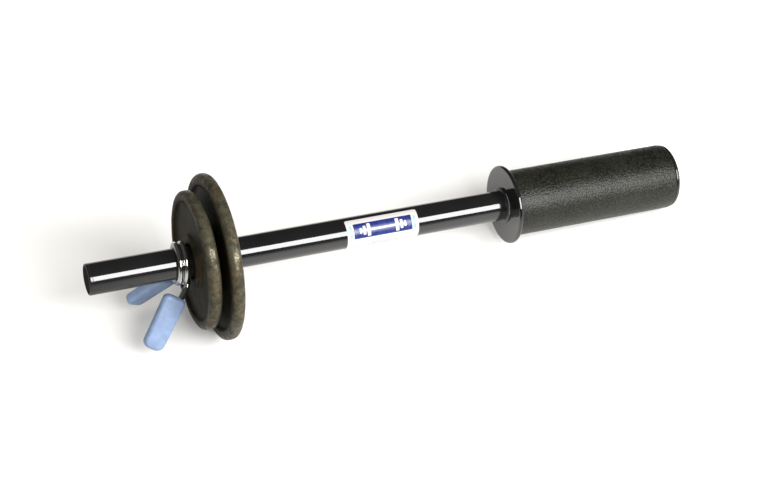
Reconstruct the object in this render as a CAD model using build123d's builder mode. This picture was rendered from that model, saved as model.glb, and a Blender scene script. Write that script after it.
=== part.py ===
from build123d import *
from math import cos, degrees, radians, sin, tan
import os

# Plate-loaded leverage bar with two cast-iron plates and a spring collar.
# Millimetres. The bar's axis is X, and +X runs from the free tip towards the handle. +Z is up.
# The origin is the centre of the free tip's end face. Every *_round, *_edge and *_chamfer is a corner's size.

# ---- Shaft ----
shaft_d = 25.4
shaft_wall = 3.0
tip_plug_head = 3.0
tip_plug_spigot = 14.0
tip_plug_round = 2.2

# ---- Plate stack, from the tip side to the handle side ----
stack_start_x = 83.5
plate_clearance = 1.8
plate_gap = 0.15

small_plate_d = 113.3
small_rim_width = 10.7
small_rim_depth = 8.5
small_hub_d = 44.0
small_web = 5.2
small_hub_proud_tip = 0.0
small_hub_proud_handle = 2.4

large_plate_d = 135.9
large_rim_width = 10.3
large_rim_depth = 9.5
large_hub_d = 50.0
large_web = 5.2
large_hub_proud_tip = 2.4
large_hub_proud_handle = 2.4

rim_round = 4.0
rim_inner_round = 2.0
web_fillet = 2.2
hub_round = 1.2
bore_chamfer = 0.8
section_tolerance = 0.01

# ---- Stop ring behind the plates ----
stop_ring_height = 7.3
stop_ring_width = 7.0
stop_ring_edge = 1.0
stop_weld_leg = 3.0
weld_bulge = 0.62

# ---- Guard and handle ----
guard_face_x = 359.3
guard_d = 66.9
guard_thickness = 3.6
guard_round = 1.4
guard_weld_leg = 3.6
handle_tube_d = 50.8
handle_tube_wall = 2.4
handle_length = 150.6
grip_wall = 2.45
grip_guard_gap = 0.4
grip_round = 1.0
rear_ring_width = 6.0
rear_ring_gap = 2.0
shaft_past_ring = 2.0
cap_head = 3.0
cap_head_step = 0.55
cap_round = 1.4
cap_spigot = 14.0
cap_spigot_wall = 2.5

# ---- Label ----
label_start_x = 213.6
label_length = 63.0
label_height = 40.0
label_thickness = 0.2
label_top_angle = 90.0

# ---- Spring collar ----
coil_wire_d = 4.8
coil_turns = 2
coil_turn_gap = 0.1
coil_shaft_clearance = 0.1
coil_plate_gap = 0.6
leg_half_angle = 26.5
leg_lean = 33.0
leg_root_bend = 6.0
leg_bare = 14.5
leg_return = 30.0
hairpin_bend_share = 0.98
sleeve_length = 46.5
sleeve_root_wall = 2.9
sleeve_end_wall = 1.8
sleeve_face_wall = 2.0
sleeve_edge_round = 3.6
sleeve_corner_round = 6.0
sleeve_tip_wall = 2.4

# ---- Sizes that follow ----
shaft_r = shaft_d / 2
shaft_bore_d = shaft_d - 2 * shaft_wall
plate_bore_d = shaft_d + 2 * plate_clearance
stop_ring_d = shaft_d + 2 * stop_ring_height
small_plate_x = stack_start_x + small_hub_proud_tip + small_rim_width / 2
small_hub_end_x = small_plate_x + small_rim_width / 2 + small_hub_proud_handle
large_plate_x = small_hub_end_x + plate_gap + large_hub_proud_tip + large_rim_width / 2
large_hub_end_x = large_plate_x + large_rim_width / 2 + large_hub_proud_handle
stop_ring_x = large_hub_end_x + plate_gap
guard_back_x = guard_face_x + guard_thickness
handle_end_x = guard_back_x + handle_length
rear_ring_x = handle_end_x - cap_spigot - rear_ring_gap - rear_ring_width
shaft_end_x = rear_ring_x + rear_ring_width + shaft_past_ring
handle_bore_d = handle_tube_d - 2 * handle_tube_wall
grip_d = handle_tube_d + 2 * grip_wall
cap_head_d = grip_d - 2 * cap_head_step

coil_wire_r = coil_wire_d / 2
coil_pitch = coil_wire_d + coil_turn_gap
coil_r = shaft_r + coil_shaft_clearance + coil_wire_r
coil_handle_x = stack_start_x - coil_plate_gap - coil_wire_r
coil_tip_x = coil_handle_x - coil_turns * coil_pitch

mm3_per_cm3 = 1000

os.makedirs("parts", exist_ok=True)


def save(solid, name):
    """Label one finished piece and write it to its own STEP file."""
    solid.label = name
    export_step(solid, f"parts/{name}.step")
    print(f"{name}: {solid.volume / mm3_per_cm3:.2f} cm3, {len(solid.solids())} solid")


def across(x):
    """The plane across the bar at x, with its normal towards the handle."""
    return Plane(origin=(x, 0, 0), x_dir=(0, 1, 0), z_dir=(1, 0, 0))


def weld_bead(x, inner_r, leg, side):
    """A rounded bead in the corner between a tube of inner_r and a face at x; side is -1 or +1 along X."""
    with BuildPart() as bead:
        with BuildSketch(Plane.XZ):
            with BuildLine():
                Polyline((x + side * leg, inner_r), (x, inner_r), (x, inner_r + leg))
                ThreePointArc(
                    (x, inner_r + leg),
                    (x + side * leg * weld_bulge, inner_r + leg * weld_bulge),
                    (x + side * leg, inner_r),
                )
            make_face()
        revolve(axis=Axis.X)
    return bead.part


def flat_ring(x, width, outer_d, inner_d, edge):
    """A ring across the bar that starts at x, with its outer edges rounded."""
    with BuildPart() as ring:
        with BuildSketch(across(x)):
            Circle(outer_d / 2)
            Circle(inner_d / 2, mode=Mode.SUBTRACT)
        extrude(amount=width)
        fillet(ring.edges().filter_by(GeomType.CIRCLE).sort_by(SortBy.RADIUS)[-2:], edge)
    return ring.part


def cast_plate(x, plate_d, rim_width, rim_depth, hub_d, web, proud_tip, proud_handle):
    """A cast plate centred on x: round bore, hub, thin web and a beaded rim, revolved about the bar."""
    plate_r = plate_d / 2
    hub_r = hub_d / 2
    bore_r = plate_bore_d / 2
    hub_width = rim_width + proud_tip + proud_handle
    hub_x = x + (proud_handle - proud_tip) / 2
    with BuildPart() as plate:
        with BuildSketch(Plane.XZ) as section:
            with Locations((hub_x, (bore_r + hub_r) / 2)):
                Rectangle(hub_width, hub_r - bore_r)
            with Locations((x, (bore_r + plate_r) / 2)):
                Rectangle(web, plate_r - bore_r)
            with Locations((x, plate_r - rim_depth / 2)):
                Rectangle(rim_width, rim_depth)
            levels = section.vertices().group_by(Axis.Y)
            bore_corners = levels[0]
            rim_corners = levels[-1]
            rim_inner = levels[-2]
            hub_outer = levels[1]
            wide_hub = [v for v in hub_outer if abs(v.X - x) > web / 2 + section_tolerance]
            wide_rim = [v for v in rim_inner if abs(v.X - x) > web / 2 + section_tolerance]
            web_corners = [v for v in hub_outer + rim_inner if abs(v.X - x) <= web / 2 + section_tolerance]
            chamfer(bore_corners, bore_chamfer)
            fillet(rim_corners, rim_round)
            fillet(wide_rim, rim_inner_round)
            fillet(wide_hub, hub_round)
            fillet(web_corners, web_fillet)
        revolve(axis=Axis.X)
    return plate.part


# ---------------------------------------------------------------- shaft

with BuildPart() as shaft_tube:
    with BuildSketch(across(tip_plug_head)):
        Circle(shaft_r)
        Circle(shaft_bore_d / 2, mode=Mode.SUBTRACT)
    extrude(amount=shaft_end_x - tip_plug_head)
save(shaft_tube.part, "shaft_tube")

with BuildPart() as shaft_tip_plug:
    with BuildSketch(across(0)):
        Circle(shaft_r)
    extrude(amount=tip_plug_head)
    fillet(shaft_tip_plug.edges().group_by(Axis.X)[0], tip_plug_round)
    with BuildSketch(across(tip_plug_head)):
        Circle(shaft_bore_d / 2)
    extrude(amount=tip_plug_spigot)
save(shaft_tip_plug.part, "shaft_tip_plug")

# The label is a sector of a thin shell on the shaft, from straight above round the front.
label_arc = degrees(label_height / shaft_r)
with BuildPart() as label_sticker:
    with BuildSketch(across(label_start_x)):
        with BuildLine():
            outer = CenterArc((0, 0), shaft_r + label_thickness, label_top_angle, label_arc)
            inner = CenterArc((0, 0), shaft_r, label_top_angle, label_arc)
            Line(outer @ 0, inner @ 0)
            Line(outer @ 1, inner @ 1)
        make_face()
    extrude(amount=label_length)
save(label_sticker.part, "label_sticker")

# ---------------------------------------------------------------- stop behind the plates

stop_ring = flat_ring(stop_ring_x, stop_ring_width, stop_ring_d, shaft_d, stop_ring_edge)
save(stop_ring, "stop_ring")

stop_weld = weld_bead(stop_ring_x + stop_ring_width, shaft_r, stop_weld_leg, 1)
save(stop_weld, "stop_weld")

# ---------------------------------------------------------------- guard and handle

guard_flange = flat_ring(guard_face_x, guard_thickness, guard_d, shaft_d, guard_round)
save(guard_flange, "guard_flange")

guard_weld = weld_bead(guard_face_x, shaft_r, guard_weld_leg, -1)
save(guard_weld, "guard_weld")

with BuildPart() as handle_tube:
    with BuildSketch(across(guard_back_x)):
        Circle(handle_tube_d / 2)
        Circle(handle_bore_d / 2, mode=Mode.SUBTRACT)
    extrude(amount=handle_length)
save(handle_tube.part, "handle_tube")

with BuildPart() as handle_rear_ring:
    with BuildSketch(across(rear_ring_x)):
        Circle(handle_bore_d / 2)
        Circle(shaft_r, mode=Mode.SUBTRACT)
    extrude(amount=rear_ring_width)
save(handle_rear_ring.part, "handle_rear_ring")

with BuildPart() as grip_sleeve:
    with BuildSketch(across(guard_back_x + grip_guard_gap)):
        Circle(grip_d / 2)
        Circle(handle_tube_d / 2, mode=Mode.SUBTRACT)
    extrude(amount=handle_length - grip_guard_gap)
    fillet(grip_sleeve.edges().filter_by(GeomType.CIRCLE).sort_by(SortBy.RADIUS)[-2:], grip_round)
save(grip_sleeve.part, "grip_sleeve")

with BuildPart() as handle_end_cap:
    with BuildSketch(across(handle_end_x)):
        Circle(cap_head_d / 2)
    extrude(amount=cap_head)
    fillet(handle_end_cap.edges().group_by(Axis.X)[-1], cap_round)
    with BuildSketch(across(handle_end_x)):
        Circle(handle_bore_d / 2)
        Circle(handle_bore_d / 2 - cap_spigot_wall, mode=Mode.SUBTRACT)
    extrude(amount=-cap_spigot)
save(handle_end_cap.part, "handle_end_cap")

# ---------------------------------------------------------------- plates

small_plate = cast_plate(
    small_plate_x, small_plate_d, small_rim_width, small_rim_depth,
    small_hub_d, small_web, small_hub_proud_tip, small_hub_proud_handle,
)
save(small_plate, "small_plate")

large_plate = cast_plate(
    large_plate_x, large_plate_d, large_rim_width, large_rim_depth,
    large_hub_d, large_web, large_hub_proud_tip, large_hub_proud_handle,
)
save(large_plate, "large_plate")

# ---------------------------------------------------------------- spring collar
# The coil is wound from straight below the shaft, at the handle side, round by the back. Both ends leave it
# along its tangent, the handle-side end towards the front (-Y) and the tip-side end towards the back (+Y), so
# the legs cross below the coil and squeezing them together opens it.

with BuildPart() as collar_coil:
    with BuildLine() as coil_path:
        Helix(
            pitch=coil_pitch, height=coil_turns * coil_pitch, radius=coil_r,
            center=(coil_handle_x, 0, 0), direction=(-1, 0, 0), lefthand=True,
        )
    with BuildSketch(Plane(origin=coil_path.edge() @ 0, z_dir=coil_path.edge() % 0)):
        Circle(coil_wire_r)
    sweep(path=coil_path.edge(), is_frenet=True)
save(collar_coil.part, "collar_coil")

# Each leg runs off along the coil's tangent to a corner on its own half-plane through the bar's axis, and
# from there straight outwards, leaning towards the free tip. Inside its sleeve it turns back as a hairpin.
half = radians(leg_half_angle)
lean = radians(leg_lean)
coil_start = coil_path.edge() @ 0
coil_end = coil_path.edge() @ 1
front_tangent = (coil_path.edge() % 0) * -1
back_tangent = coil_path.edge() % 1
root_run = coil_r * tan(half) / abs(front_tangent.Y)
front_corner = coil_start + front_tangent * root_run
back_corner = coil_end + back_tangent * root_run
corner_offset = front_corner.X - back_corner.X
hairpin_width = corner_offset * cos(lean)
back_leg_bare = leg_bare - corner_offset * sin(lean)
sleeve_root_width = hairpin_width + coil_wire_d + 2 * sleeve_root_wall
sleeve_end_width = hairpin_width + coil_wire_d + 2 * sleeve_end_wall
sleeve_thickness = coil_wire_d + 2 * sleeve_face_wall


def leg_directions(side):
    """The directions along, across and out of one leg's plane; side is -1 at the front and +1 at the back."""
    outward = Vector(0, side * sin(half), -cos(half))
    along = outward * cos(lean) - Vector(sin(lean), 0, 0)
    handle_side = outward * sin(lean) + Vector(cos(lean), 0, 0)
    return along, handle_side, along.cross(handle_side)


def leg_wire(start, corner, bare, side, turn):
    """One leg: off the coil, round the corner, down the sleeve and back; turn is the hairpin's side."""
    along, handle_side, _ = leg_directions(side)
    bottom = corner + along * (bare + sleeve_length - sleeve_tip_wall - coil_wire_r)
    bottom_back = bottom + handle_side * (turn * hairpin_width)
    end = bottom_back - along * leg_return
    hairpin_r = hairpin_width / 2 * hairpin_bend_share
    with BuildPart() as leg:
        with BuildLine() as path:
            FilletPolyline(start, corner, bottom, bottom_back, end, radius=[leg_root_bend, hairpin_r, hairpin_r])
        with BuildSketch(Plane(origin=path.wire() @ 0, z_dir=path.wire() % 0)):
            Circle(coil_wire_r)
        sweep(path=path.wire())
    return leg.part


def vinyl_sleeve(corner, bare, side, turn, wire):
    """The flat tapered sleeve moulded round one leg's hairpin."""
    along, handle_side, normal = leg_directions(side)
    middle = corner + along * (bare + sleeve_length / 2) + handle_side * (turn * hairpin_width / 2)
    length = sleeve_length / 2
    root = sleeve_root_width / 2
    tip = sleeve_end_width / 2
    with BuildPart() as sleeve:
        with BuildSketch(Plane(origin=middle, x_dir=along, z_dir=normal)) as outline:
            with BuildLine():
                Polyline((-length, -root), (length, -tip), (length, tip), (-length, root), close=True)
            make_face()
            fillet(outline.vertices(), sleeve_corner_round)
        extrude(amount=sleeve_thickness / 2, both=True)
        broad = sleeve.faces().sort_by(Axis(origin=middle, direction=normal))
        fillet(broad[0].edges() + broad[-1].edges(), sleeve_edge_round)
        add(wire, mode=Mode.SUBTRACT)
    return sleeve.part


front_leg_wire = leg_wire(coil_start, front_corner, leg_bare, -1, -1)
save(front_leg_wire, "front_leg_wire")

back_leg_wire = leg_wire(coil_end, back_corner, back_leg_bare, 1, 1)
save(back_leg_wire, "back_leg_wire")

front_sleeve = vinyl_sleeve(front_corner, leg_bare, -1, -1, front_leg_wire)
save(front_sleeve, "front_sleeve")

back_sleeve = vinyl_sleeve(back_corner, back_leg_bare, 1, 1, back_leg_wire)
save(back_sleeve, "back_sleeve")
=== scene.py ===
import math

import bmesh
import bpy
from bpy.props import FloatProperty, FloatVectorProperty, IntProperty, PointerProperty
from mathutils import Matrix, Vector, noise


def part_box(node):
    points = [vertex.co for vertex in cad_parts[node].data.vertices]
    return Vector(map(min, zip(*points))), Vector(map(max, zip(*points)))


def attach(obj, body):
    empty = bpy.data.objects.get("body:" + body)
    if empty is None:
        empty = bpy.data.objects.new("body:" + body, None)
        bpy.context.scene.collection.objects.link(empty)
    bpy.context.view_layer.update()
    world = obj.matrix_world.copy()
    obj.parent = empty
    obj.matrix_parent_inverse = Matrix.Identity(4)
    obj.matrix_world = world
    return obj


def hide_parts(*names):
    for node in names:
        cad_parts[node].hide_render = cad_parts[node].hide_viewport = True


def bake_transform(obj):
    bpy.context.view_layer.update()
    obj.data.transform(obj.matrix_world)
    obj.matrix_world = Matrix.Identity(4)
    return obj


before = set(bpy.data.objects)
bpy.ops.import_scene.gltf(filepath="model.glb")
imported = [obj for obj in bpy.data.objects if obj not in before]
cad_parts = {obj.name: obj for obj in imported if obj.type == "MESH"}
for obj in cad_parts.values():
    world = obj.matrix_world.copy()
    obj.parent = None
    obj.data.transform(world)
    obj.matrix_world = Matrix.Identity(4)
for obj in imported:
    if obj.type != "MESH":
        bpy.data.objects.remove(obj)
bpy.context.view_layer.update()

bl_info = {
    "name": "Leverage Bar",
    "version": (1, 0, 0),
    "blender": (4, 5, 0),
    "location": "3D View > Sidebar > Leverage Bar",
    "description": "Builds the detailed pieces of a plate-loaded leverage bar around its packed frame",
    "category": "Object",
}

# The bar's axis is X, from the free tip at the origin towards the handle. +Z is up and -Y is the front.

MM = 0.001
TURN = 2 * math.pi

# How close a line of points runs beside each corner, so that smooth shading stays flat beyond it.
HOLD = 0.3 * MM

# Radii of the holes that the frame's boxes don't show.
SHAFT_BORE = 9.7 * MM
PLATE_BORE = 14.5 * MM


# ---------------------------------------------------------------- sizes read from the frame


class Extent:
    """The reach of one round CAD node: where it starts and ends along the bar, and its outer radius."""

    def __init__(self, node):
        low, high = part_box(node)
        self.start = low.x
        self.end = high.x
        self.middle = (low.x + high.x) / 2
        self.radius = max(high.y, high.z)


SHAFT = Extent("shaft_tube")
PLUG = Extent("shaft_tip_plug")
GUARD = Extent("guard_flange")
GUARD_WELD = Extent("guard_weld")
STOP_WELD = Extent("stop_weld")
TUBE = Extent("handle_tube")
GRIP = Extent("grip_sleeve")
CAP = Extent("handle_end_cap")
SMALL = Extent("small_plate")
LARGE = Extent("large_plate")
COIL = Extent("collar_coil")
LABEL = Extent("label_sticker")


# ---------------------------------------------------------------- settings


def colour_setting(name, description, colour):
    """A setting for a plain colour."""
    return FloatVectorProperty(
        name=name, description=description, subtype="COLOR", size=3, min=0, max=1, default=colour,
    )


def share_setting(name, description, share):
    """A setting between 0 and 1."""
    return FloatProperty(name=name, description=description, subtype="FACTOR", min=0, max=1, default=share)


def length_setting(name, description, length, least=0.0):
    """A setting for a length in metres."""
    return FloatProperty(
        name=name, description=description, subtype="DISTANCE", unit="LENGTH", min=least, default=length,
    )


def angle_setting(name, description, degrees):
    """A setting for an angle, shown in degrees."""
    return FloatProperty(
        name=name, description=description, subtype="ANGLE", unit="ROTATION", default=math.radians(degrees),
    )


class FinishSettings(bpy.types.PropertyGroup):
    """Colours and textures of the bar's finishes."""

    paint_colour: colour_setting("Paint", "Gloss enamel on the shaft and guard", (0.006, 0.006, 0.006))
    paint_roughness: share_setting("Paint roughness", "How blurred the enamel's reflections are", 0.09)
    grip_colour: colour_setting("Grip", "Moulded rubber of the grip", (0.0115, 0.0118, 0.0082))
    iron_colour: colour_setting("Iron", "Oxidised face of the cast plates", (0.0220, 0.0216, 0.0120))
    bare_iron_colour: colour_setting("Bare iron", "Iron worn bare on the beads", (0.165, 0.148, 0.102))
    rust_colour: colour_setting("Rust", "Rust flecks on the beads", (0.165, 0.085, 0.030))
    chrome_roughness: share_setting("Chrome roughness", "Polish of the collar's wire", 0.07)
    vinyl_colour: colour_setting("Vinyl", "Dipped sleeves on the collar's legs", (0.170, 0.236, 0.368))
    label_colour: colour_setting("Label", "White film of the label", (0.48, 0.46, 0.45))
    label_panel_colour: colour_setting("Label panel", "Printed panel on the label", (0.006, 0.016, 0.12))


class ShapeSettings(bpy.types.PropertyGroup):
    """Sizes of the surface detail that the frame leaves plain."""

    round_segments: IntProperty(
        name="Segments", description="Steps round the smooth turned pieces", min=32, default=160,
    )
    plate_step: length_setting("Plate mesh step", "Spacing of the mesh on the plates", 1.1 * MM, 0.4 * MM)
    plate_lumps: length_setting("Casting unevenness", "Height of the sand-cast unevenness", 0.28 * MM)
    grip_step: length_setting("Grip mesh step", "Spacing of the mesh on the grip", 0.56 * MM, 0.3 * MM)
    grip_pebble: length_setting("Pebble size", "Width of one pebble of the texture", 1.5 * MM, 0.5 * MM)
    grip_depth: length_setting("Pebble depth", "Depth of the valleys between the pebbles", 0.22 * MM)
    wire_diameter: length_setting("Wire", "Diameter of the collar's wire", 4.8 * MM, 1 * MM)
    leg_half_angle: angle_setting("Leg half angle", "Turn of each leg from straight down", 26.5)
    leg_lean: angle_setting("Leg lean", "Lean of the legs towards the free tip", 33)
    leg_bare: length_setting("Bare leg", "Length of the front leg between its root and its sleeve", 14.5 * MM)
    sleeve_length: length_setting("Sleeve length", "Length of each vinyl sleeve", 46.5 * MM)
    sleeve_thickness: length_setting("Sleeve thickness", "Thickness of each vinyl sleeve", 8.8 * MM)


class StageSettings(bpy.types.PropertyGroup):
    """Camera, lights and floor."""

    aim_x: length_setting("Aim", "Place along the bar that the camera looks at", 0.2535)
    aim_drop: length_setting("Aim drop", "How far below the bar's axis the camera aims", 0.0222)
    camera_distance: length_setting("Distance", "Distance of the camera from its aim", 1.4512)
    camera_azimuth: angle_setting("Azimuth", "Turn of the camera from the front towards the free tip", 25.82)
    camera_elevation: angle_setting("Elevation", "Rise of the camera above the bar's level plane", 39.94)
    lens: FloatProperty(
        name="Lens", description="Focal length in millimetres on a 36 mm wide sensor", min=1, default=81.04,
    )
    key_power: FloatProperty(
        name="Key light", description="Power of the long soft light at the front",
        unit="POWER", min=0, default=58,
    )
    fill_strength: FloatProperty(
        name="Fill", description="Strength of the even light from the room", min=0, default=0.75,
    )


def finishes():
    """The finishes' settings in this scene."""
    return bpy.context.scene.leverage_finish


def shapes():
    """The shapes' settings in this scene."""
    return bpy.context.scene.leverage_shape


def staging():
    """The stage's settings in this scene."""
    return bpy.context.scene.leverage_stage


# ---------------------------------------------------------------- meshes


def piece_from(name, points, faces, sharp_angle=None):
    """A smooth-shaded piece from points and faces, with its normals outwards and its poles closed."""
    mesh = bpy.data.meshes.new(name)
    mesh.from_pydata(points, [], faces)
    work = bmesh.new()
    work.from_mesh(mesh)
    bmesh.ops.remove_doubles(work, verts=work.verts, dist=1e-7)
    bmesh.ops.recalc_face_normals(work, faces=work.faces)
    work.to_mesh(mesh)
    work.free()
    mesh.shade_smooth()
    if sharp_angle is not None:
        mesh.set_sharp_from_angle(angle=math.radians(sharp_angle))
    piece = bpy.data.objects.new(name, mesh)
    bpy.context.scene.collection.objects.link(piece)
    return piece


def finish_piece(piece, body, material, slot, *nodes):
    """Gives a piece its material, its body and the CAD nodes that it stands for."""
    piece.data.materials.clear()
    piece.data.materials.append(material)
    if nodes:
        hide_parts(*nodes)
    if body is not None:
        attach(piece, body)


def ring_faces(rings, count, rings_join, points_join=True):
    """Faces between rings of count points; the row of rings, and the points of each ring, may join up."""
    faces = []
    for i in range(rings if rings_join else rings - 1):
        here = i * count
        there = (i + 1) % rings * count
        for j in range(count if points_join else count - 1):
            k = (j + 1) % count
            faces.append((here + j, here + k, there + k, there + j))
    return faces


def capped_faces(rings, count):
    """Faces of a closed length: rings of count points, with a flat face over each end."""
    faces = ring_faces(rings, count, False)
    faces.append(tuple(range(count)))
    faces.append(tuple((rings - 1) * count + j for j in range(count)))
    return faces


def rounded_path(corners, step, closed):
    """Points along a path of (point, radius) corners: each corner is an arc, each straight is divided."""
    count = len(corners)
    runs = []
    for i, (point, radius) in enumerate(corners):
        at_end = not closed and i in (0, count - 1)
        if at_end or radius <= 0:
            runs.append([point.copy()])
            continue
        back = (corners[i - 1][0] - point).normalized()
        on = (corners[(i + 1) % count][0] - point).normalized()
        opening = back.angle(on)
        reach = radius / math.tan(opening / 2)
        centre = point + (back + on).normalized() * (radius / math.sin(opening / 2))
        first = (point + back * reach - centre).normalized()
        last = (point + on * reach - centre).normalized()
        steps = max(3, math.ceil(radius * first.angle(last) / step))
        runs.append([centre + first.slerp(last, k / steps) * radius for k in range(steps + 1)])
    path = []
    for i, run in enumerate(runs):
        path.extend(run)
        if i + 1 < count or closed:
            start = run[-1]
            end = runs[(i + 1) % count][0]
            length = (end - start).length
            pieces = max(1, round(length / step))
            shares = [k / pieces for k in range(1, pieces)]
            if length > 4 * HOLD:
                shares = [t for t in shares if HOLD < t * length < length - HOLD]
                shares = [HOLD / length, *shares, 1 - HOLD / length]
            path.extend(start.lerp(end, t) for t in shares)
    return path


def turned(name, corners, step, segments, closed=True, plain_bore=False, sharp_angle=None):
    """A piece turned about the bar from an outline of (x, radius, corner radius).

    A closed outline is divided all the way round. With plain_bore its last side, the bore, is one long face.
    """
    outline = rounded_path([(Vector((x, r, 0)), c) for x, r, c in corners], step, closed and not plain_bore)
    points = []
    for i in range(segments):
        angle = TURN * i / segments
        points.extend((p.x, p.y * math.cos(angle), p.y * math.sin(angle)) for p in outline)
    return piece_from(name, points, ring_faces(segments, len(outline), True, closed), sharp_angle)


def tube(name, path, radius, sides, rounding):
    """A round wire along a path of points, with both ends rounded off."""
    frames = []
    normal = (path[1] - path[0]).orthogonal().normalized()
    for i, point in enumerate(path):
        before = path[max(i - 1, 0)]
        after = path[min(i + 1, len(path) - 1)]
        along = (after - before).normalized()
        normal = (normal - along * normal.dot(along)).normalized()
        frames.append((point, along, normal, radius))
    head = []
    tail = []
    steps = 4
    for k in range(steps):
        angle = math.pi / 2 * (k + 0.5) / steps
        size = radius - rounding * (1 - math.sin(angle))
        shift = rounding * math.cos(angle)
        point, along, normal, _ = frames[0]
        head.append((point - along * shift, along, normal, size))
        point, along, normal, _ = frames[-1]
        tail.insert(0, (point + along * shift, along, normal, size))
    rings = head + frames + tail
    points = []
    for point, along, normal, size in rings:
        side = along.cross(normal)
        for j in range(sides):
            angle = TURN * j / sides
            points.append(point + (normal * math.cos(angle) + side * math.sin(angle)) * size)
    return piece_from(name, points, capped_faces(len(rings), sides), sharp_angle=60)


def wrapped_patch(name, start, end, top, bottom, radius, thickness, corner):
    """A thin patch on the shaft, from x start to end and from angle top to bottom, with rounded corners."""
    row_step = 0.5 * MM
    column_step = 2 * MM
    height = (bottom - top) * radius
    rows = max(2, math.ceil(height / row_step))
    columns = max(1, math.ceil((end - start) / column_step))
    points = []
    for level in (radius + thickness, radius):
        for i in range(rows + 1):
            down = height * i / rows
            depth = corner - min(down, height - down, corner)
            inset = corner - math.sqrt(max(corner**2 - depth**2, 0))
            angle = top + (bottom - top) * i / rows
            for j in range(columns + 1):
                x = start + inset + (end - start - 2 * inset) * j / columns
                points.append((x, level * math.cos(angle), level * math.sin(angle)))
    width = columns + 1
    under = (rows + 1) * width
    faces = []
    for i in range(rows):
        for j in range(columns):
            a = i * width + j
            faces.append((a, a + 1, a + width + 1, a + width))
            faces.append((under + a, under + a + width, under + a + width + 1, under + a + 1))
    for j in range(columns):
        for a in (j, rows * width + j):
            faces.append((a, a + 1, under + a + 1, under + a))
    for i in range(rows):
        for a in (i * width, i * width + columns):
            faces.append((a, a + width, under + a + width, under + a))
    return piece_from(name, points, faces, sharp_angle=45)


def facing(place, right, away):
    """The matrix of a camera or light at a place, with its X along right and its back towards away."""
    turn = Matrix((right, away.cross(right), away)).transposed().to_4x4()
    return Matrix.Translation(place) @ turn


def push_in(piece, depth_at):
    """Moves each point of a piece inwards along its normal by depth_at(point)."""
    mesh = piece.data
    normals = [v.normal.copy() for v in mesh.vertices]
    for vertex, normal in zip(mesh.vertices, normals):
        vertex.co = vertex.co - normal * depth_at(vertex.co)
    mesh.update()


# ---------------------------------------------------------------- material nodes


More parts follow.
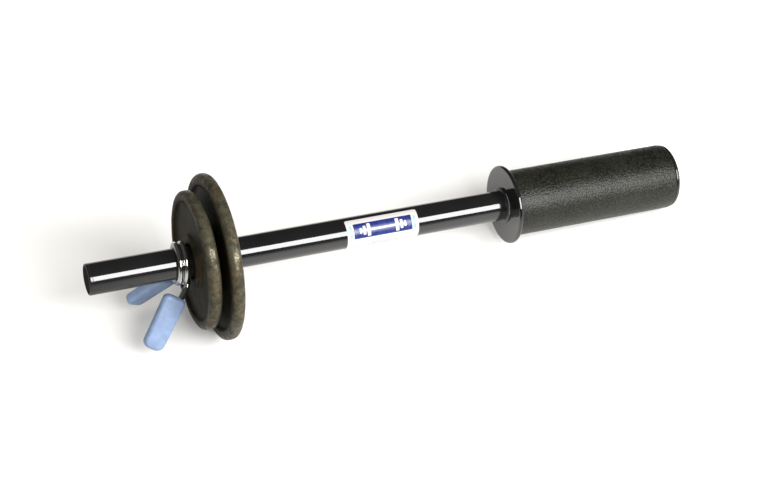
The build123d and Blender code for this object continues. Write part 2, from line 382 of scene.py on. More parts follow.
class Finish:
    """A material being built: a Principled shader with nodes placed by the object's own coordinates."""

    def __init__(self, name, roughness=0.5, metallic=0.0, colour=(0.5, 0.5, 0.5)):
        self.material = bpy.data.materials.new(name)
        self.material.use_nodes = True
        self.tree = self.material.node_tree
        self.shader = self.tree.nodes["Principled BSDF"]
        self.place = self.tree.nodes.new("ShaderNodeTexCoord").outputs["Object"]
        self.set("Roughness", roughness)
        self.set("Metallic", metallic)
        self.set("Base Color", (*colour, 1))
        self.bumps = None

    def set(self, socket, value):
        """Sets a constant on the shader, or joins a node's output to it."""
        if isinstance(value, bpy.types.NodeSocket):
            self.tree.links.new(value, self.shader.inputs[socket])
        else:
            self.shader.inputs[socket].default_value = value

    def feed(self, node, index, value):
        """Sets a node's input to a constant, or joins another node's output to it."""
        if isinstance(value, bpy.types.NodeSocket):
            self.tree.links.new(value, node.inputs[index])
        else:
            node.inputs[index].default_value = value

    def noise(self, size, detail=4.0, roughness=0.55, distortion=0.0, place=None):
        """Noise whose features are about size metres across."""
        node = self.tree.nodes.new("ShaderNodeTexNoise")
        self.feed(node, "Vector", place or self.place)
        node.inputs["Scale"].default_value = 1 / size
        node.inputs["Detail"].default_value = detail
        node.inputs["Roughness"].default_value = roughness
        node.inputs["Distortion"].default_value = distortion
        return node.outputs["Fac"]

    def cells(self, size):
        """The distance to the nearest of scattered points about size metres apart, in cells."""
        node = self.tree.nodes.new("ShaderNodeTexVoronoi")
        self.feed(node, "Vector", self.place)
        node.inputs["Scale"].default_value = 1 / size
        return node.outputs["Distance"]

    def sums(self, operation, a, b=0.0, c=0.0):
        """One step of arithmetic on numbers or nodes' outputs."""
        node = self.tree.nodes.new("ShaderNodeMath")
        node.operation = operation
        for index, value in enumerate((a, b, c)):
            if index < len(node.inputs):
                self.feed(node, index, value)
        return node.outputs[0]

    def between(self, value, low, high, low_out=0.0, high_out=1.0):
        """A smooth change from low_out to high_out as value goes from low to high."""
        node = self.tree.nodes.new("ShaderNodeMapRange")
        node.interpolation_type = "SMOOTHSTEP"
        self.feed(node, "Value", value)
        node.inputs["From Min"].default_value = low
        node.inputs["From Max"].default_value = high
        node.inputs["To Min"].default_value = low_out
        node.inputs["To Max"].default_value = high_out
        return node.outputs["Result"]

    def mix(self, share, first, second):
        """A colour between first and second; either may be a plain colour or a node's output."""
        node = self.tree.nodes.new("ShaderNodeMix")
        node.data_type = "RGBA"
        for socket, value in (("Factor_Float", share), ("A_Color", first), ("B_Color", second)):
            target = next(s for s in node.inputs if s.identifier == socket)
            if isinstance(value, bpy.types.NodeSocket):
                self.tree.links.new(value, target)
            elif socket == "Factor_Float":
                target.default_value = value
            else:
                target.default_value = (*value, 1)
        return next(s for s in node.outputs if s.identifier == "Result_Color")

    def stretched(self, x, y, z):
        """The object's coordinates scaled along each axis, for texture with a direction."""
        node = self.tree.nodes.new("ShaderNodeMapping")
        self.feed(node, "Vector", self.place)
        node.inputs["Scale"].default_value = (x, y, z)
        return node.outputs["Vector"]

    def coordinates(self):
        """The object's own coordinates as separate outputs named X, Y and Z."""
        split = self.tree.nodes.new("ShaderNodeSeparateXYZ")
        self.feed(split, 0, self.place)
        return split.outputs

    def axis_radius(self):
        """The distance from the bar's axis, in metres."""
        place = self.coordinates()
        square_y = self.sums("MULTIPLY", place["Y"], place["Y"])
        square_z = self.sums("MULTIPLY", place["Z"], place["Z"])
        return self.sums("SQRT", self.sums("ADD", square_y, square_z))

    def bump(self, height, depth, strength=1.0):
        """Adds a bump of the given depth in metres over the bumps so far."""
        node = self.tree.nodes.new("ShaderNodeBump")
        node.inputs["Strength"].default_value = strength
        node.inputs["Distance"].default_value = depth
        self.feed(node, "Height", height)
        if self.bumps is not None:
            self.feed(node, "Normal", self.bumps)
        self.bumps = node.outputs["Normal"]
        self.set("Normal", self.bumps)


def shade(colour, factor):
    """A colour made lighter or darker by a factor."""
    return tuple(min(1.0, channel * factor) for channel in colour)


def made_material(name):
    """A material that an earlier step has made."""
    material = bpy.data.materials.get(name)
    if material is None:
        raise RuntimeError(f"The material {name} is missing: run the shaft step first.")
    return material


# ---------------------------------------------------------------- finishes


def gloss_enamel():
    """Black baked enamel: nearly a mirror, with faint orange peel, dust and fine rub marks."""
    colour = finishes().paint_colour
    finish = Finish("gloss enamel", finishes().paint_roughness)
    cloud = finish.noise(30 * MM, 3)
    finish.set("Base Color", finish.mix(cloud, shade(colour, 0.7), shade(colour, 1.7)))
    rubs = finish.noise(2.2 * MM, 5, 0.7, place=finish.stretched(0.06, 1, 1))
    dust = finish.between(finish.noise(0.9 * MM, 2), 0.68, 0.75)
    rough = finishes().paint_roughness
    base = finish.between(rubs, 0.45, 0.75, rough * 0.8, rough * 1.7)
    finish.set("Roughness", finish.sums("ADD", base, finish.sums("MULTIPLY", dust, 0.12)))
    finish.set("IOR", 1.68)
    finish.bump(finish.noise(5 * MM, 2, 0.5), 0.012 * MM)
    finish.bump(rubs, 0.0015 * MM)
    return finish.material


def grip_rubber():
    """Black moulded rubber: a fine grain over the modelled pebbles, lighter on the grain's bump tops and
    darker in its valleys as painted shade, greyer where it is handled.
    """
    colour = finishes().grip_colour
    finish = Finish("grip rubber")
    finish.set("Specular IOR Level", 0.27)
    grain = finish.cells(1.3 * MM)
    speckle = finish.noise(0.8 * MM, 2, 0.6)
    handled = finish.noise(28 * MM, 3)
    # Painted shade: the colour darkens in the valleys between the grain's bumps and lightens on their tops,
    # following the bump's height.
    dark = finish.mix(finish.between(grain, 0.2, 0.65), shade(colour, 1.9), shade(colour, 0.35))
    finish.set("Base Color", finish.mix(finish.between(handled, 0.4, 0.7, 0, 0.35), dark, shade(colour, 2.2)))
    finish.set("Roughness", finish.between(speckle, 0.3, 0.75, 0.30, 0.50))
    finish.bump(finish.sums("SUBTRACT", 1, grain), 0.22 * MM, 0.9)
    finish.bump(speckle, 0.05 * MM, 0.6)
    return finish.material


def cast_iron(name, rim_radius, bead):
    """Sand-cast iron: dark oxide on the face, worn bare and flecked with rust along the rim's bead."""
    colours = finishes()
    finish = Finish(name)
    finish.set("Specular IOR Level", 0.13)
    radius = finish.axis_radius()
    mottle = finish.noise(14 * MM, 5, 0.6)
    grain = finish.noise(1.6 * MM, 4, 0.65)
    stain = finish.noise(34 * MM, 3, 0.5, 0.6)
    oxide = finish.between(mottle, 0.3, 0.7)
    face = finish.mix(oxide, shade(colours.iron_colour, 0.7), shade(colours.iron_colour, 1.35))
    face = finish.mix(finish.between(stain, 0.5, 0.72, 0, 0.55), face, shade(colours.rust_colour, 0.32))
    on_bead = finish.between(radius, rim_radius - bead, rim_radius - bead * 0.25)
    rub = finish.sums("MULTIPLY", on_bead, finish.between(finish.noise(6 * MM, 5, 0.65), 0.38, 0.68, 0.12, 1))
    rub = finish.sums("MULTIPLY", rub, finish.between(grain, 0.36, 0.62, 0.35, 1))
    colour = finish.mix(finish.sums("MULTIPLY", rub, 0.72), face, tuple(colours.bare_iron_colour))
    fleck = finish.between(finish.noise(4.2 * MM, 5, 0.72, 0.4), 0.585, 0.66)
    near_bead = finish.between(radius, rim_radius - bead * 1.3, rim_radius - bead * 0.7)
    fleck = finish.sums("MULTIPLY", fleck, near_bead)
    colour = finish.mix(finish.sums("MULTIPLY", fleck, 0.55), colour, tuple(colours.rust_colour))
    pores = finish.between(finish.cells(2.6 * MM), 0.08, 0.3)
    finish.set("Base Color", colour)
    finish.set("Metallic", finish.sums("MULTIPLY", rub, 0.7))
    worn = finish.sums("SUBTRACT", rub, fleck)
    finish.set("Roughness", finish.between(worn, 0, 0.9, 0.50, 0.30))
    finish.bump(finish.noise(4.5 * MM, 4, 0.6), 0.35 * MM, 0.8)
    finish.bump(grain, 0.16 * MM, 0.8)
    finish.bump(pores, 0.10 * MM, 0.6)
    return finish.material


def chrome_wire():
    """Bright chrome with faint drawing lines and a few duller rubbed spots."""
    finish = Finish("chrome wire", finishes().chrome_roughness, 1.0)
    lines = finish.noise(0.5 * MM, 3, 0.6)
    spots = finish.between(finish.noise(5 * MM, 4), 0.55, 0.75)
    low = finishes().chrome_roughness * 0.7
    bright = (0.78, 0.77, 0.76)
    rubbed = (0.56, 0.54, 0.50)
    finish.set("Roughness", finish.between(spots, 0, 1, low, low * 3.2))
    finish.set("Base Color", finish.mix(spots, bright, rubbed))
    finish.bump(lines, 0.004 * MM)
    return finish.material


def dipped_vinyl():
    """Soft light-blue dipped vinyl: a satin skin with faint flow marks and scuffs."""
    colour = finishes().vinyl_colour
    finish = Finish("dipped vinyl", 0.42)
    flow = finish.noise(9 * MM, 3)
    scuff = finish.between(finish.noise(2.4 * MM, 5, 0.7), 0.6, 0.74)
    tone = finish.mix(finish.between(flow, 0.35, 0.7), shade(colour, 0.9), shade(colour, 1.1))
    finish.set("Base Color", finish.mix(finish.sums("MULTIPLY", scuff, 0.3), tone, shade(colour, 0.62)))
    finish.set("Roughness", finish.between(scuff, 0, 1, 0.36, 0.58))
    finish.set("Subsurface Weight", 0.12)
    finish.set("Subsurface Scale", 0.002)
    finish.bump(flow, 0.10 * MM, 0.7)
    finish.bump(finish.noise(0.7 * MM, 3), 0.015 * MM, 0.7)
    return finish.material


def film(name, colour, roughness=0.3):
    """Printed label film: smooth, with a faint mottled ink layer."""
    finish = Finish(name, roughness)
    ink = finish.noise(0.8 * MM, 3)
    finish.set("Base Color", finish.mix(ink, shade(colour, 0.93), shade(colour, 1.05)))
    smudges = finish.noise(3 * MM, 4)
    finish.set("Roughness", finish.between(smudges, 0.35, 0.7, roughness * 0.8, roughness * 1.3))
    finish.bump(finish.noise(4 * MM, 2), 0.010 * MM)
    return finish.material


def moulded_plastic(name, rim_radius):
    """Black moulded plastic: glossy round the rim, duller inside, with faint sink marks and scratches."""
    finish = Finish(name)
    dark = (0.006, 0.006, 0.006)
    worn = (0.012, 0.012, 0.011)
    scratches = finish.noise(1.4 * MM, 5, 0.7, place=finish.stretched(1, 0.08, 1))
    finish.set("Base Color", finish.mix(finish.noise(12 * MM, 3), dark, worn))
    skin = finish.between(finish.axis_radius(), rim_radius - 1.9 * MM, rim_radius - 0.7 * MM)
    gloss = finish.sums("SUBTRACT", 0.62, finish.sums("MULTIPLY", skin, 0.5))
    finish.set("Roughness", finish.sums("ADD", gloss, finish.between(scratches, 0.45, 0.75, 0, 0.12)))
    finish.set("Specular IOR Level", finish.between(skin, 0, 1, 0.02, 0.4))
    finish.set("IOR", 1.75)
    finish.bump(finish.noise(6 * MM, 2), 0.015 * MM)
    finish.bump(scratches, 0.003 * MM)
    return finish.material


def bare_steel():
    """Plain turned steel with concentric tool marks and light oxide."""
    finish = Finish("bare steel", 0.35, 1.0)
    groove = 0.4 * MM
    marks = finish.sums("SINE", finish.sums("MULTIPLY", finish.axis_radius(), TURN / groove))
    oxide = finish.between(finish.noise(8 * MM, 5), 0.5, 0.7)
    steel = (0.52, 0.52, 0.53)
    brown = (0.24, 0.18, 0.13)
    finish.set("Base Color", finish.mix(oxide, steel, brown))
    finish.set("Roughness", finish.between(oxide, 0, 1, 0.3, 0.6))
    finish.bump(marks, 0.01 * MM, 0.5)
    return finish.material


# ---------------------------------------------------------------- operators


class LEVERAGE_OT_shaft(bpy.types.Operator):
    """Build the enamelled shaft and the plug in its free tip"""

    bl_idname = "leverage.shaft"
    bl_label = "Shaft"

    def execute(self, context):
        edge = 0.12 * MM
        corners = [
            (SHAFT.start, SHAFT_BORE, 0), (SHAFT.start, SHAFT.radius, edge),
            (SHAFT.end, SHAFT.radius, edge), (SHAFT.end, SHAFT_BORE, 0),
        ]
        shaft = turned("shaft", corners, 20 * MM, shapes().round_segments, sharp_angle=50)
        finish_piece(shaft, "bar", gloss_enamel(), "gloss_black", "shaft_tube")
        seat = SHAFT.start - 0.04 * MM
        spigot = SHAFT_BORE - 0.1 * MM
        corners = [
            (PLUG.start, 0, 0), (PLUG.start, PLUG.radius, 1.1 * MM),
            (seat, PLUG.radius, 0.1 * MM), (seat, spigot, 0.1 * MM),
            (PLUG.end, spigot, 0.6 * MM), (PLUG.end, 0, 0),
        ]
        plug = turned("tip_plug", corners, 1.5 * MM, shapes().round_segments, closed=False, sharp_angle=50)
        plastic = moulded_plastic("tip plug plastic", PLUG.radius)
        finish_piece(plug, "bar", plastic, "plug_plastic", "shaft_tip_plug")
        return {"FINISHED"}


class LEVERAGE_OT_guard(bpy.types.Operator):
    """Build the guard disc and the rippled weld beads"""

    bl_idname = "leverage.guard"
    bl_label = "Guard and welds"

    def execute(self, context):
        enamel = made_material("gloss enamel")
        bore = SHAFT.radius + 0.02 * MM
        edge = 1.4 * MM
        corners = [
            (GUARD.start, bore, 0), (GUARD.start, GUARD.radius, edge),
            (GUARD.end, GUARD.radius, edge), (GUARD.end, bore, 0),
        ]
        guard = turned("guard", corners, 1.5 * MM, shapes().round_segments * 2, sharp_angle=50)
        finish_piece(guard, "bar", enamel, "gloss_black", "guard_flange")
        self.bead("guard_bead", "guard_weld", GUARD_WELD, GUARD_WELD.end, -1, enamel)
        self.bead("stop_bead", "stop_weld", STOP_WELD, STOP_WELD.start, 1, enamel)
        return {"FINISHED"}

    def bead(self, name, node, weld, face, side, enamel):
        """A weld bead with overlapping ripples, in the corner between the shaft and a face on its side."""
        leg = weld.end - weld.start
        ripples = 44
        segments = ripples * 8
        ring = 14
        least_size = 0.60
        ripple_size = 0.09
        wander = 0.07
        wander_rate = 2.4
        seed = leg * 900
        points = []
        for i in range(segments):
            angle = TURN * i / segments
            phase = (angle * ripples / TURN) % 1
            swell = least_size + ripple_size * math.sin(math.pi * phase) ** 0.6
            spot = Vector((math.cos(angle) * wander_rate, math.sin(angle) * wander_rate, seed))
            swell += wander * noise.noise(spot)
            for j in range(ring):
                turn = math.pi / 2 * j / (ring - 1)
                out = leg * swell
                x = face + side * (out * max(0.0, math.cos(turn)) ** 0.9)
                r = SHAFT.radius + out * math.sin(turn) ** 0.9
                points.append((x, r * math.cos(angle), r * math.sin(angle)))
            points.append((face, SHAFT.radius * math.cos(angle), SHAFT.radius * math.sin(angle)))
        bead = piece_from(name, points, ring_faces(segments, ring + 1, True), sharp_angle=60)
        finish_piece(bead, "bar", enamel, "weld_paint", node)


class LEVERAGE_OT_grip(bpy.types.Operator):
    """Build the pebbled grip and the handle's end cap"""

    bl_idname = "leverage.grip"
    bl_label = "Grip"

    def execute(self, context):
        shape = shapes()
        bore = TUBE.radius + 0.03 * MM
        corners = [
            (GRIP.start, bore, 0), (GRIP.start, GRIP.radius, 0.8 * MM),
            (GRIP.end, GRIP.radius, 1.6 * MM), (GRIP.end, bore, 0),
        ]
        segments = round(TURN * GRIP.radius / shape.grip_step)
        grip = turned("grip", corners, shape.grip_step, segments, plain_bore=True)
        outer = GRIP.radius - 0.4 * MM
        slope = 2.2

        def valley(point):
            if math.hypot(point.y, point.z) < outer:
                return 0.0
            nearest = noise.voronoi(point / shape.grip_pebble)[0]
            return shape.grip_depth * (1 - min(1.0, (nearest[1] - nearest[0]) * slope))

        push_in(grip, valley)
        finish_piece(grip, "bar", grip_rubber(), "grip_rubber", "grip_sleeve")
        seat = GRIP.end + 0.05 * MM
        inside = GRIP.end - 0.5 * MM
        spigot = TUBE.radius - 2.5 * MM
        hollow = TUBE.radius - 5 * MM
        edge = 0.5 * MM
        corners = [
            (CAP.end, 0, 0), (CAP.end, CAP.radius, 1.4 * MM),
            (seat, CAP.radius, 0.2 * MM), (seat, spigot, 0),
            (CAP.start, spigot, edge), (CAP.start, hollow, edge),
            (inside, hollow, edge), (inside, 0, 0),
        ]
        cap = turned("end_cap", corners, 2 * MM, shape.round_segments, closed=False, sharp_angle=50)
        plastic = moulded_plastic("end cap plastic", CAP.radius)
        finish_piece(cap, "bar", plastic, "plug_plastic", "handle_end_cap")
        return {"FINISHED"}


class LEVERAGE_OT_plates(bpy.types.Operator):
    """Build the two sand-cast plates"""

    bl_idname = "leverage.plates"
    bl_label = "Plates"

    def execute(self, context):
        small = {"rim": 10.7 * MM, "depth": 8.5 * MM, "hub": 22 * MM, "proud": 0.0}
        large = {"rim": 10.3 * MM, "depth": 9.5 * MM, "hub": 25 * MM, "proud": 2.4 * MM}
        self.plate("plate_small", SMALL, "small_plate", "small_disc", **small)
        self.plate("plate_large", LARGE, "large_plate", "large_disc", **large)
        return {"FINISHED"}

    def plate(self, name, extent, node, body, rim, depth, hub, proud):
        """One plate, uneven from the sand mould.

        It has a rim of this width and depth, and a hub of this radius that stands proud on the tip side.
        """
        shape = shapes()
        outer = extent.radius - 0.1 * MM
        inner = outer - depth
        web = 5.2 * MM
        middle = extent.start + proud + rim / 2
        left = middle - rim / 2
        right = middle + rim / 2
        mouth = 0.8 * MM
        hub_round = 1.2 * MM
        fillet = 2.2 * MM
        inner_round = 2.0 * MM
        outer_round = 4.2 * MM
        corners = [
            (extent.start, PLATE_BORE, mouth), (extent.start, hub, hub_round),
            (middle - web / 2, hub, fillet), (middle - web / 2, inner, fillet),
            (left, inner, inner_round), (left, outer, outer_round),
            (right, outer, outer_round), (right, inner, inner_round),
            (middle + web / 2, inner, fillet), (middle + web / 2, hub, fillet),
            (extent.end, hub, hub_round), (extent.end, PLATE_BORE, mouth),
        ]
        segments = round(TURN * outer / shape.plate_step)
        plate = turned(name, corners, shape.plate_step, segments)
        smooth = PLATE_BORE + 1.5 * MM
        broad_lump = 11 * MM
        fine_lump = 3.1 * MM

        def hollow(point):
            if math.hypot(point.y, point.z) < smooth:
                return 0.0
            broad = noise.noise(point / broad_lump)
            fine = noise.noise(point / fine_lump)
            return shape.plate_lumps * (0.5 + 0.4 * broad + 0.25 * fine)

        push_in(plate, hollow)
        iron = cast_iron(name.replace("_", " ") + " iron", outer, depth)
        finish_piece(plate, body, iron, "cast_iron", node)


class Leg:
    """The places and directions of one leg of the collar; side is -1 at the front and +1 at the back."""

    def __init__(self, side):
        shape = shapes()
        self.wire = shape.wire_diameter / 2
        self.ring = COIL.radius - self.wire
        self.handle_x = COIL.end - self.wire
        self.tip_x = COIL.start + self.wire
        self.pitch = (self.handle_x - self.tip_x) / 2
        half = shape.leg_half_angle
        lean = shape.leg_lean
        outward = Vector((0, side * math.sin(half), -math.cos(half)))
        self.along = outward * math.cos(lean) - Vector((math.sin(lean), 0, 0))
        self.handle_side = outward * math.sin(lean) + Vector((math.cos(lean), 0, 0))
        self.normal = self.along.cross(self.handle_side)
        slope = self.pitch / (TURN * self.ring)
        run = self.ring * math.tan(half)
        offset = self.handle_x - self.tip_x + 2 * run * slope
        self.hairpin = offset * math.cos(lean)
        if side < 0:
            self.root = Vector((self.handle_x, 0, -self.ring))
            self.corner = self.root + Vector((run * slope, -run, 0))
            self.bare = shape.leg_bare
            self.back_turn = -1
        else:
            self.root = Vector((self.tip_x, 0, -self.ring))
            self.corner = self.root + Vector((-run * slope, run, 0))
            self.bare = shape.leg_bare - offset * math.sin(lean)
            self.back_turn = 1

    def coil_points(self, first, last, steps):
        """Points on the coil between two turns counted from the handle-side root, wound round by the back."""
        points = []
        for i in range(steps + 1):
            turns = first + (last - first) * i / steps
            angle = TURN * turns
            x = self.handle_x - self.pitch * turns
            points.append(Vector((x, self.ring * math.sin(angle), -self.ring * math.cos(angle))))
        return points

    def wire_points(self):
        """Points from the root down the leg, round the hairpin and part of the way back."""
        shape = shapes()
        cover = 2.4 * MM
        root_bend = 6 * MM
        path_step = 0.8 * MM
        bend = self.hairpin / 2 * 0.98
        bottom = self.corner + self.along * (self.bare + shape.sleeve_length - cover - self.wire)
        across = self.handle_side * (self.back_turn * self.hairpin)
        corners = [
            (self.root, 0), (self.corner, root_bend), (bottom, bend), (bottom + across, bend),
            (bottom + across - self.along * 30 * MM, 0),
        ]
        return rounded_path(corners, path_step, False)[1:]


class LEVERAGE_OT_collar(bpy.types.Operator):
    """Build the spring collar's chromed wire"""

    bl_idname = "leverage.collar"
    bl_label = "Collar wire"

    def execute(self, context):
        chrome = chrome_wire()
        front = Leg(-1)
        back = Leg(1)
        half_turn_steps = 64
        sides = 28
        cut = 0.5 * MM
        path = front.coil_points(0.5, 0.0, half_turn_steps) + front.wire_points()
        wire = tube("collar_front_leg", path, front.wire, sides, cut)
        finish_piece(wire, None, chrome, "chrome_wire", "front_leg_wire")
        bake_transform(wire)
        path = front.coil_points(0.5, 1.5, half_turn_steps * 2)
        wire = tube("collar_coil_middle", path, front.wire, sides, 0.02 * MM)
        finish_piece(wire, "collar", chrome, "chrome_wire", "collar_coil")
        path = back.coil_points(1.5, 2.0, half_turn_steps) + back.wire_points()
        wire = tube("collar_back_leg", path, back.wire, sides, cut)
        finish_piece(wire, None, chrome, "chrome_wire", "back_leg_wire")
        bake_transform(wire)
        return {"FINISHED"}


class LEVERAGE_OT_sleeves(bpy.types.Operator):
    """Build the two dipped vinyl sleeves on the collar's legs"""

    bl_idname = "leverage.sleeves"
    bl_label = "Vinyl sleeves"

    def execute(self, context):
        vinyl = dipped_vinyl()
        self.sleeve("sleeve_front", Leg(-1), "front_sleeve", "front_handle", vinyl)
        self.sleeve("sleeve_back", Leg(1), "back_sleeve", "back_handle", vinyl)
        return {"FINISHED"}

    def sleeve(self, name, leg, node, body, vinyl):
        """A flat tapered paddle with soft corners, lofted along the leg."""
        shape = shapes()
        length = shape.sleeve_length
        thick = shape.sleeve_thickness / 2
        wrapped = leg.hairpin / 2 + leg.wire
        centre = leg.corner + leg.along * leg.bare + leg.handle_side * (leg.back_turn * leg.hairpin / 2)
        root_wall = 2.9 * MM
        end_wall = 1.8 * MM
        root_corner = 4.6 * MM
        end_corner = 6.0 * MM
        edge_round = 3.2 * MM
        quarter = 9
        steps = 64
        meeting = 0.98
        stations = [length * (1 - math.cos(math.pi * i / steps)) / 2 for i in range(steps + 1)]
        points = []
        for s in stations:
            share = s / length
            near = min(s, length - s)
            width = wrapped + root_wall * (1 - share) + end_wall * share
            width -= self.rounding(root_corner if share < 0.5 else end_corner, near)
            height = thick - self.rounding(edge_round, near)
            edge = min(edge_round, height * meeting, width * meeting)
            for i in range(4):
                for k in range(quarter):
                    angle = math.pi / 2 * (i + k / (quarter - 1))
                    across = math.copysign(width - edge, math.cos(math.pi / 2 * (i + 0.5)))
                    out = math.copysign(height - edge, math.sin(math.pi / 2 * (i + 0.5)))
                    place = leg.handle_side * (across + edge * math.cos(angle))
                    place += leg.normal * (out + edge * math.sin(angle))
                    points.append(centre + leg.along * s + place)
        sleeve = piece_from(name, points, capped_faces(len(stations), 4 * quarter), sharp_angle=60)
        finish_piece(sleeve, body, vinyl, "vinyl_blue", node)

    @staticmethod
    def rounding(radius, near):
        """How far a side has drawn in at a distance near from the end, for a corner of this radius."""
        gap = max(radius - near, 0)
        return radius - math.sqrt(max(radius**2 - gap**2, 0))


class LEVERAGE_OT_label(bpy.types.Operator):
    """Build the label: white film with a plain panel and a barbell sign"""

    bl_idname = "leverage.label"
    bl_label = "Label"

    def execute(self, context):
        colours = finishes()
        white = film("label film", tuple(colours.label_colour))
        blue = film("label panel", tuple(colours.label_panel_colour))
        pale = film("label pale print", (0.20, 0.38, 0.50))
        grey = film("label fine print", (0.36, 0.27, 0.32))
        paper = 0.10 * MM
        ink = 0.03 * MM
        top = math.pi / 2
        bottom = top + 40 * MM / SHAFT.radius
        sheet = wrapped_patch("label", LABEL.start, LABEL.end, top, bottom, SHAFT.radius, paper, 1.6 * MM)
        finish_piece(sheet, "bar", white, "label_paper")
        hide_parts("label_sticker")
        centre = (LABEL.start + LABEL.end) / 2
        half_panel = (LABEL.end - LABEL.start) * 0.406
        middle = math.radians(139.5)
        reach = math.radians(28.5)
        level = SHAFT.radius + paper
        self.mark("label_panel", centre, half_panel, middle, reach, level, ink, 0.4 * MM, blue)
        for side, place in ((-1, "left"), (1, "right")):
            x = centre + side * (half_panel + 2.4 * MM)
            self.mark(f"label_bar_{place}", x, 1.0 * MM, middle, reach * 0.8, level, ink, 0.2 * MM, pale)
        thin = 0.25 * MM / SHAFT.radius
        for index, half in enumerate((17 * MM, 11 * MM, 14 * MM)):
            angle = math.radians(184 + 9 * index)
            self.mark(f"label_rule_{index + 1}", centre, half, angle, thin, level, ink, 0, grey)
        level += ink
        sign = [("label_sign_bar", 0, 20 * MM, 1.5)]
        for side, place in ((-1, "left"), (1, "right")):
            sign.append((f"label_sign_{place}_disc", side * 12.5 * MM, 1.5 * MM, 10.4))
            sign.append((f"label_sign_{place}_mid_disc", side * 16.4 * MM, 1.2 * MM, 7.4))
            sign.append((f"label_sign_{place}_end_disc", side * 19.6 * MM, 0.9 * MM, 4.6))
        for name, offset, half, height in sign:
            rise = height * MM / 2 / SHAFT.radius
            self.mark(name, centre + offset, half, middle, rise, level, ink, 0.3 * MM, white)
        return {"FINISHED"}

    def mark(self, name, x, half, angle, rise, level, thickness, corner, material):
        """A printed mark that reaches half to each side of x and rise to each side of an angle."""
        mark = wrapped_patch(name, x - half, x + half, angle - rise, angle + rise, level, thickness, corner)
        finish_piece(mark, "bar", material, "label_paper")


class LEVERAGE_OT_inner(bpy.types.Operator):
    """Give the plain inner pieces of the frame their finishes"""

    bl_idname = "leverage.inner"
    bl_label = "Inner pieces"

    def execute(self, context):
        enamel = made_material("gloss enamel")
        steel = bare_steel()
        for node, material in (("stop_ring", enamel), ("handle_tube", enamel), ("handle_rear_ring", steel)):
            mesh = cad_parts[node].data
            mesh.materials.clear()
            mesh.materials.append(material)
        return {"FINISHED"}


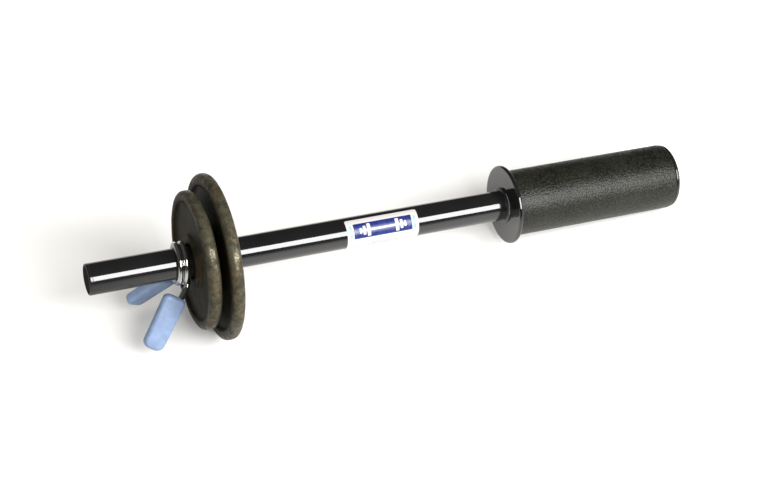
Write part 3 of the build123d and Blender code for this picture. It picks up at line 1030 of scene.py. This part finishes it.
class LEVERAGE_OT_stage(bpy.types.Operator):
    """Set up the floor under the resting bar, the lights and the camera"""

    bl_idname = "leverage.stage"
    bl_label = "Stage"

    def execute(self, context):
        stage = staging()
        tilt = math.atan2(LARGE.radius - GRIP.radius, GRIP.end - LARGE.middle)
        up = Vector((-math.sin(tilt), 0, math.cos(tilt)))
        self.floor(tilt)
        self.camera(stage, up)
        self.key(stage)
        self.room(stage)
        context.scene.view_settings.view_transform = "Standard"
        return {"FINISHED"}

    def floor(self, tilt):
        """A pale floor through the lowest points of the large plate and of the handle's end.

        Reflections see it darken in front of the bar and towards the free tip, as if it ended there: painted
        shade that only glossy rays see.
        """
        reach = 6.0
        front = 1.2
        clear = 0.3 * MM
        middle = Vector((LARGE.middle, 0, -LARGE.radius - clear))
        points = []
        for a, b in ((-reach, -front), (reach, -front), (reach, reach), (-reach, reach)):
            points.append(middle + Vector((a * math.cos(tilt), b, a * math.sin(tilt))))
        floor = piece_from("floor", points, [(0, 1, 2, 3)])
        pale = (0.88, 0.87, 0.85)
        black = (0, 0, 0)
        finish = Finish("pale floor", 0.9, colour=pale)
        finish.set("Roughness", finish.between(finish.noise(0.2, 3), 0.3, 0.7, 0.85, 0.95))
        place = finish.coordinates()
        near = finish.between(place["Y"], -0.45, -0.04, low_out=0.25)
        along = finish.between(place["X"], -0.02, 0.20, low_out=0.42)
        rays = finish.tree.nodes.new("ShaderNodeLightPath")
        # Painted shade for reflections only: glossy rays see the floor darker in front of the bar and towards
        # the free tip.
        painted_reflection_shade = finish.sums("SUBTRACT", 1, finish.sums("MULTIPLY", near, along))
        painted_reflection_shade = finish.sums("MULTIPLY", painted_reflection_shade, rays.outputs["Is Glossy Ray"])
        finish.set("Base Color", finish.mix(painted_reflection_shade, pale, black))
        floor.data.materials.append(finish.material)

    def camera(self, stage, up):
        """The camera, level with the floor."""
        flat = math.cos(stage.camera_elevation)
        away = Vector((
            -flat * math.sin(stage.camera_azimuth), -flat * math.cos(stage.camera_azimuth),
            math.sin(stage.camera_elevation),
        ))
        aim = Vector((stage.aim_x, 0, -stage.aim_drop))
        right = up.cross(away).normalized()
        data = bpy.data.cameras.new("camera")
        data.lens = stage.lens
        data.sensor_width = 36
        data.clip_end = 50
        camera = bpy.data.objects.new("camera", data)
        camera.matrix_world = facing(aim + away * stage.camera_distance, right, away)
        bpy.context.scene.collection.objects.link(camera)
        bpy.context.scene.camera = camera

    def key(self, stage):
        """The long softbox that draws the narrow line of light on the shaft, kept level along the bar."""
        target = Vector((0.18, 0, 0))
        towards = Vector((0.28, -0.76, 0.585)).normalized()
        distance = 1.7
        width = 1.36
        height = 0.92
        level = Vector((1, 0, 0))
        data = bpy.data.lights.new("key", "AREA")
        data.shape = "RECTANGLE"
        data.size = width
        data.size_y = height
        data.energy = stage.key_power
        light = bpy.data.objects.new("key", data)
        centre = target + towards * distance
        away = (centre - target).normalized()
        right = (level - away * level.dot(away)).normalized()
        light.matrix_world = facing(centre, right, away)
        bpy.context.scene.collection.objects.link(light)

    def room(self, stage):
        """Even light from the room, which gloss surfaces see as a dark studio."""
        dark_studio = 0.06
        world = bpy.data.worlds.new("room")
        world.use_nodes = True
        tree = world.node_tree
        background = tree.nodes["Background"]
        background.inputs["Color"].default_value = (1.0, 0.985, 0.96, 1)
        rays = tree.nodes.new("ShaderNodeLightPath")
        node = tree.nodes.new("ShaderNodeMapRange")
        node.inputs["To Min"].default_value = stage.fill_strength
        node.inputs["To Max"].default_value = dark_studio
        tree.links.new(rays.outputs["Is Glossy Ray"], node.inputs["Value"])
        tree.links.new(node.outputs["Result"], background.inputs["Strength"])
        bpy.context.scene.world = world


class LEVERAGE_PT_panel(bpy.types.Panel):
    """Lists the steps that build the bar"""

    bl_idname = "LEVERAGE_PT_panel"
    bl_label = "Leverage Bar"
    bl_space_type = "VIEW_3D"
    bl_region_type = "UI"
    bl_category = "Leverage Bar"

    def draw(self, context):
        for group in (finishes(), shapes(), staging()):
            for name in group.bl_rna.properties.keys():
                if name not in ("rna_type", "name"):
                    self.layout.prop(group, name)
        for operator in OPERATORS:
            self.layout.operator(operator.bl_idname)


OPERATORS = (
    LEVERAGE_OT_shaft,
    LEVERAGE_OT_guard,
    LEVERAGE_OT_grip,
    LEVERAGE_OT_plates,
    LEVERAGE_OT_collar,
    LEVERAGE_OT_sleeves,
    LEVERAGE_OT_label,
    LEVERAGE_OT_inner,
    LEVERAGE_OT_stage,
)
GROUPS = (FinishSettings, ShapeSettings, StageSettings)


def register():
    for item in GROUPS + OPERATORS + (LEVERAGE_PT_panel,):
        bpy.utils.register_class(item)
    bpy.types.Scene.leverage_finish = PointerProperty(type=FinishSettings)
    bpy.types.Scene.leverage_shape = PointerProperty(type=ShapeSettings)
    bpy.types.Scene.leverage_stage = PointerProperty(type=StageSettings)


def unregister():
    del bpy.types.Scene.leverage_stage
    del bpy.types.Scene.leverage_shape
    del bpy.types.Scene.leverage_finish
    for item in reversed(GROUPS + OPERATORS + (LEVERAGE_PT_panel,)):
        bpy.utils.unregister_class(item)


def main():
    """Builds the whole bar."""
    register()
    bpy.ops.leverage.shaft()
    bpy.ops.leverage.guard()
    bpy.ops.leverage.grip()
    bpy.ops.leverage.plates()
    bpy.ops.leverage.collar()
    bpy.ops.leverage.sleeves()
    bpy.ops.leverage.label()
    bpy.ops.leverage.inner()
    bpy.ops.leverage.stage()


if __name__ == "__main__":
    main()
